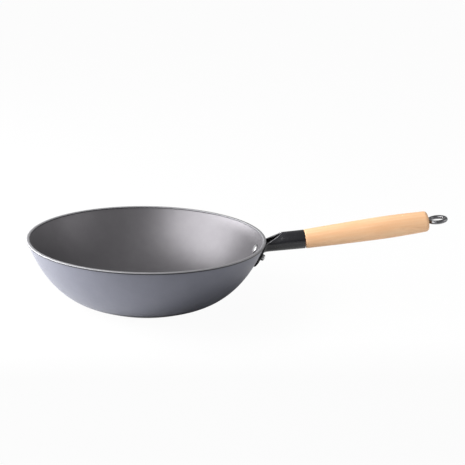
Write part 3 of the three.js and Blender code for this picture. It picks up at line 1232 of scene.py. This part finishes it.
@dataclass
class Studio:
    """A plain pale floor with a cove, a soft and a low lamp at the left, a fill at the right, a dim room."""

    floor_radius: float = 8.0
    floor_facets: int = 96
    floor_drop: float = 0.2 * MM
    cove_height: float = 2.0
    cove_round: float = 1.5
    cove_steps: int = 8
    cove_crease: float = 60
    paper: float = 0.9
    paper_dull: float = 0.9
    paper_in_front: float = 0.2
    front_from: float = 0.15
    front_to: float = 0.26
    shadow_side: Patch = Patch((0.09, -0.07), 0.04, 0.14)
    paper_in_shadow: float = 0.25
    backdrop: float = 0.96
    contact: Patch = Patch((0, 0), 69 * MM, 71 * MM)
    backdrop_at_contact: float = 0.2
    glow: float = 0.6
    glow_at_back: float = 0.8
    back_to: float = 0.5
    glow_in_front: float = 0.03
    handle_from: float = 0.13
    handle_to: float = 0.17
    handle_front_from: float = 0.4
    handle_front_to: float = 0.5
    under_bowl: Patch = Patch((0.05, -0.01), 0.1, 0.14)
    room_light: float = 0.34
    lamps: tuple[Lamp, ...] = (
        Lamp("soft_lamp", math.radians(-75), math.radians(30), 1.2, 1.9, 1.2, 42.0),
        Lamp("low_lamp", math.radians(-110), math.radians(2), 1.2, 0.9, 0.16, 28.0),
        Lamp("fill_lamp", math.radians(80), math.radians(18), 1.2, 0.9, 0.55, 2.3),
    )
    target: Vector = field(default_factory=lambda: Vector((107.2, -9.3, 92.2)) * MM)
    view_turn: float = math.radians(-5)
    view_lift: float = math.radians(16.03)
    view_roll: float = math.radians(1.69)
    view_reach: float = 1636.3 * MM
    view_end: float = 60
    lens: float = 100.645

    @staticmethod
    def direction(turn: float, lift: float) -> Vector:
        """Give the way out from the object by a turn from -Y towards +X and a lift above the floor."""
        return Vector((math.sin(turn) * math.cos(lift), -math.cos(turn) * math.cos(lift), math.sin(lift)))

    def mirrored(self, s: Shading, front: Socket) -> Socket:
        """Give the floor's painted glow in reflections: dim in front of the object, with a painted shadow
        under the bowl.

        Args:
            s: The floor's material being drawn up.
            front: 1 on the floor in front of the bowl.

        Returns:
            The brightness.
        """
        across = s.coordinate("Y")
        by_handle = s.spread(s.coordinate("X"), self.handle_from, self.handle_to, 0, 1)
        handle_front = s.spread(across, -self.handle_front_to, -self.handle_front_from, 1, 0)
        back = s.spread(across, 0, self.back_to, self.glow, self.glow_at_back)
        glow = s.blend(s.blend(by_handle, front, handle_front), back, grey(self.glow_in_front))
        # Painted shadow: the glow is taken away in a patch under the bowl.
        return s.blend(self.under_bowl.share(s), glow, grey(0.0))

    def floor_material(self) -> Material:
        """Draw up the floor: pale paper with painted shade in front of the bowl and on its shadow side, white
        to the camera except close round the bowl's foot.

        Returns:
            The material.
        """
        s = Shading("studio_white")
        # Painted shade: the paper is darker in front of the bowl and in a patch on its shadow side, seen in
        # bounce light and reflections; the camera sees almost only white there.
        front = s.spread(s.coordinate("Y"), -self.front_to, -self.front_from, 1, 0)
        paper = s.blend(front, grey(self.paper), grey(self.paper_in_front))
        paper = s.blend(self.shadow_side.share(s), paper, grey(self.paper_in_shadow))
        s.finish(Base_Color=paper, Roughness=self.paper_dull, Specular_IOR_Level=0.0)
        path = s.node("ShaderNodeLightPath").outputs
        backdrop = s.spread(self.contact.share(s), 0, 1, self.backdrop, self.backdrop_at_contact)
        to_camera = s.combine("MULTIPLY", path["Is Camera Ray"], backdrop)
        # Painted reflection: glossy rays see the glow above, mixed with the lit paper.
        to_gloss = s.combine("MAXIMUM", path["Is Glossy Ray"], path["Is Transmission Ray"])
        to_gloss = s.combine("MULTIPLY", to_gloss, self.mirrored(s, front))
        white = s.node("ShaderNodeEmission")
        white.inputs["Strength"].default_value = 1.0
        mix = s.node("ShaderNodeMixShader")
        s.feed(mix.inputs[0], s.combine("MAXIMUM", to_camera, to_gloss))
        s.feed(mix.inputs[1], s.shader.outputs[0])
        s.feed(mix.inputs[2], white.outputs[0])
        s.feed(s.tree.nodes["Material Output"].inputs["Surface"], mix.outputs[0])
        return s.material

    def set_floor(self) -> None:
        """Lay the floor and raise its cove."""
        deselect_all()
        bpy.ops.mesh.primitive_circle_add(
            vertices=self.floor_facets,
            radius=self.floor_radius,
            fill_type="NGON",
            location=(0, 0, -self.floor_drop),
        )
        floor = bpy.context.object
        floor.name = "studio_floor"
        bpy.ops.object.mode_set(mode="EDIT")
        bpy.ops.mesh.select_mode(type="EDGE")
        bpy.ops.mesh.select_all(action="SELECT")
        bpy.ops.mesh.region_to_loop()
        bpy.ops.mesh.extrude_edges_move(TRANSFORM_OT_translate={"value": (0, 0, self.cove_height)})
        bpy.ops.object.mode_set(mode="OBJECT")
        apply_modifier(floor, "BEVEL", width=self.cove_round, segments=self.cove_steps, limit_method="ANGLE")
        smooth(floor, self.cove_crease)
        floor.data.materials.append(self.floor_material())

    def set_light(self) -> None:
        """Hang the lamps and dim the room."""
        for lamp in self.lamps:
            light = bpy.data.lights.new(lamp.name, "AREA")
            light.shape = "RECTANGLE"
            light.size, light.size_y = lamp.width, lamp.height
            light.energy = lamp.power
            hung = bpy.data.objects.new(lamp.name, light)
            bpy.context.collection.objects.link(hung)
            way = self.direction(lamp.turn, lamp.lift)
            hung.location = Vector((0, 0, self.target.z / 2)) + way * lamp.reach
            hung.rotation_mode = "QUATERNION"
            hung.rotation_quaternion = (-way).to_track_quat("-Z", "Y")
            hung.visible_camera = False
        world = bpy.data.worlds.new("studio_room")
        world.use_nodes = True
        room = world.node_tree.nodes["Background"]
        room.inputs["Color"].default_value = (1, 1, 1, 1)
        room.inputs["Strength"].default_value = self.room_light
        bpy.context.scene.world = world

    def set_camera(self) -> None:
        """Stand the camera at the photograph's viewing angle."""
        camera = bpy.data.cameras.new("camera")
        camera.lens = self.lens
        camera.clip_end = self.view_end
        stand = bpy.data.objects.new("camera", camera)
        bpy.context.collection.objects.link(stand)
        back = self.direction(self.view_turn, self.view_lift)
        stand.location = self.target + back * self.view_reach
        stand.rotation_mode = "QUATERNION"
        level = (-back).to_track_quat("-Z", "Y")
        stand.rotation_quaternion = level @ Quaternion((0, 0, 1), self.view_roll)
        bpy.context.scene.camera = stand
        bpy.context.scene.view_settings.view_transform = "Standard"


def main() -> None:
    """Build the wok's pieces in order and the studio round them."""
    logging.basicConfig(level=logging.INFO, format="%(name)s %(message)s")
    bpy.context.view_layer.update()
    bowl = Bowl()
    rivets = Rivets(bowl)
    handle = Handle()
    outside = IronFinish(
        "iron_outside",
        dark=(0.175, 0.18, 0.22),
        light=(0.2, 0.206, 0.246),
        # The rim colour is partly a painted highlight.
        rim=(0.29, 0.288, 0.3),
        rim_from=82.6 * MM,
        rim_to=82.8 * MM,
        smooth=0.42,
        metal=0.42,
        # How dark the painted shade is under the rim and at the foot.
        shade_share=0.85,
    )
    inside = IronFinish(
        "iron_inside",
        dark=(0.15, 0.144, 0.154),
        light=(0.175, 0.169, 0.179),
        # The rim colour is partly a painted highlight.
        rim=(0.2, 0.2, 0.21),
        rim_from=82.2 * MM,
        rim_to=83.0 * MM,
        smooth=0.44,
        metal=0.72,
    )
    bright = SteelFinish("rivet_steel", dark=(0.5, 0.5, 0.51), light=(0.7, 0.7, 0.7), smooth=0.2, dull=0.36)
    blued = SteelFinish(
        "blued_wire", dark=(0.13, 0.13, 0.138), light=(0.25, 0.25, 0.26), smooth=0.27, dull=0.38
    )
    coat = CoatFinish("black_coat", colour=(0.013, 0.013, 0.016), scuff_and_highlight_tone=(0.03, 0.03, 0.034), scuff_and_highlight_share=0.2)
    # A light tone along the rounded near edges of the opening: a painted highlight of light catching them.
    painted_edge_highlight = CoatFinish("painted_edge_coat", colour=(0.2, 0.2, 0.21), scuff_and_highlight_tone=(0.4, 0.4, 0.41), scuff_and_highlight_share=1.0)
    beech = BeechFinish(
        "beech_varnished",
        pale=(0.94, 0.635, 0.39),
        warm=(0.86, 0.475, 0.245),
        fleck=(0.6, 0.29, 0.12),
        origin=handle.mouth,
        pitch=handle.pitch,
    )
    pieces = [bowl.build(outside, inside, rivets)]
    pieces += rivets.build(bright)
    pieces += Bracket().build(coat, painted_edge_highlight, bright)
    pieces.append(handle.build_grip(beech))
    pieces.append(handle.build_eye(blued))
    for piece in pieces:
        LOG.info("%s: %d faces", piece.name, len(piece.data.polygons))
    studio = Studio()
    studio.set_floor()
    studio.set_light()
    studio.set_camera()


if __name__ == "__main__":
    main()
